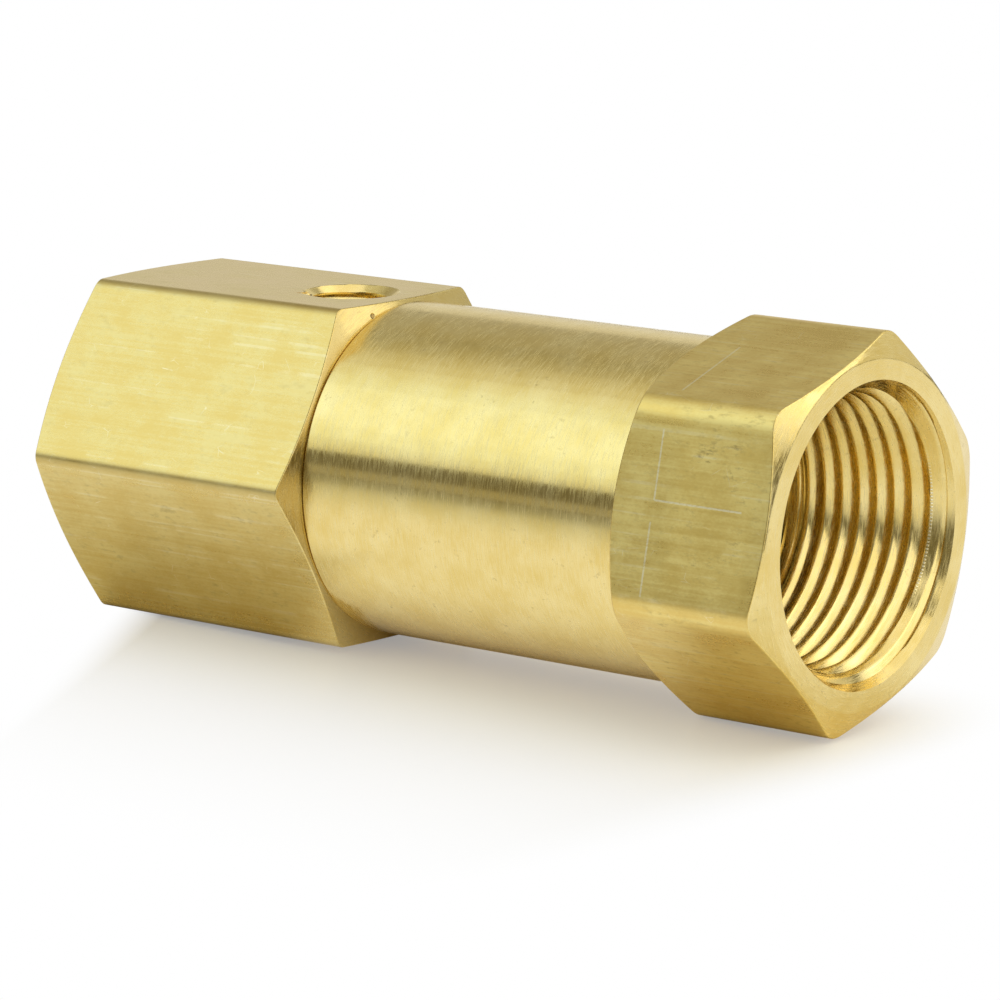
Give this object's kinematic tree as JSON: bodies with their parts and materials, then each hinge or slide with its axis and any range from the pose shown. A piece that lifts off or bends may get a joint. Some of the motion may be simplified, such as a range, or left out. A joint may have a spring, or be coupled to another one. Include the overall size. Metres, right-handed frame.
{
  "type": "inline non-return valve",
  "caption": "Brass inline non-return valve with female pipe threads at both ends, a small side port and a spring-loaded poppet with a soft seal.",
  "frame": {"origin": "middle of the valve on its own axis, half way between the inlet face and the outlet face", "axes": "+X along the valve in the direction of flow, from inlet to outlet; +Z out of the side port, square to one flat of the inlet hexagon; +Y across"},
  "size_m": [0.1, 0.0436, 0.0422],
  "materials": {
    "inlet_brass": "drawn hexagon bar, satin, with streaks along the bar and light handling scratches",
    "outlet_brass": "fine turned barrel and face, drawn hexagon flats with vice marks",
    "turned_brass": "fine turned",
    "nitrile": "matt moulded",
    "stainless": "bright, machined",
    "spring_steel": "drawn wire and stamped ring, bright",
    "bush_plastic": "turned acetal, off white"
  },
  "bodies": {
    "housing": {"inlet_body": "inlet_brass", "outlet_body": "outlet_brass", "body_seal_ring": "nitrile", "guide": "turned_brass", "guide_bush": "bush_plastic", "retaining_ring": "spring_steel", "return_spring": "spring_steel"},
    "poppet_group": {"poppet": "turned_brass", "seat_seal": "nitrile", "clamp_washer": "turned_brass", "lock_washer": "stainless", "seal_screw": "stainless"}
  },
  "joints": [
    {"name": "poppet_lift", "type": "slide", "parent": "housing", "child": "poppet_group", "axis": [1, 0, 0], "range_m": [0, 0.006], "stiffness_N_per_m": 1200, "springref_m": -0.003, "deforming": ["return_spring"]}
  ]
}
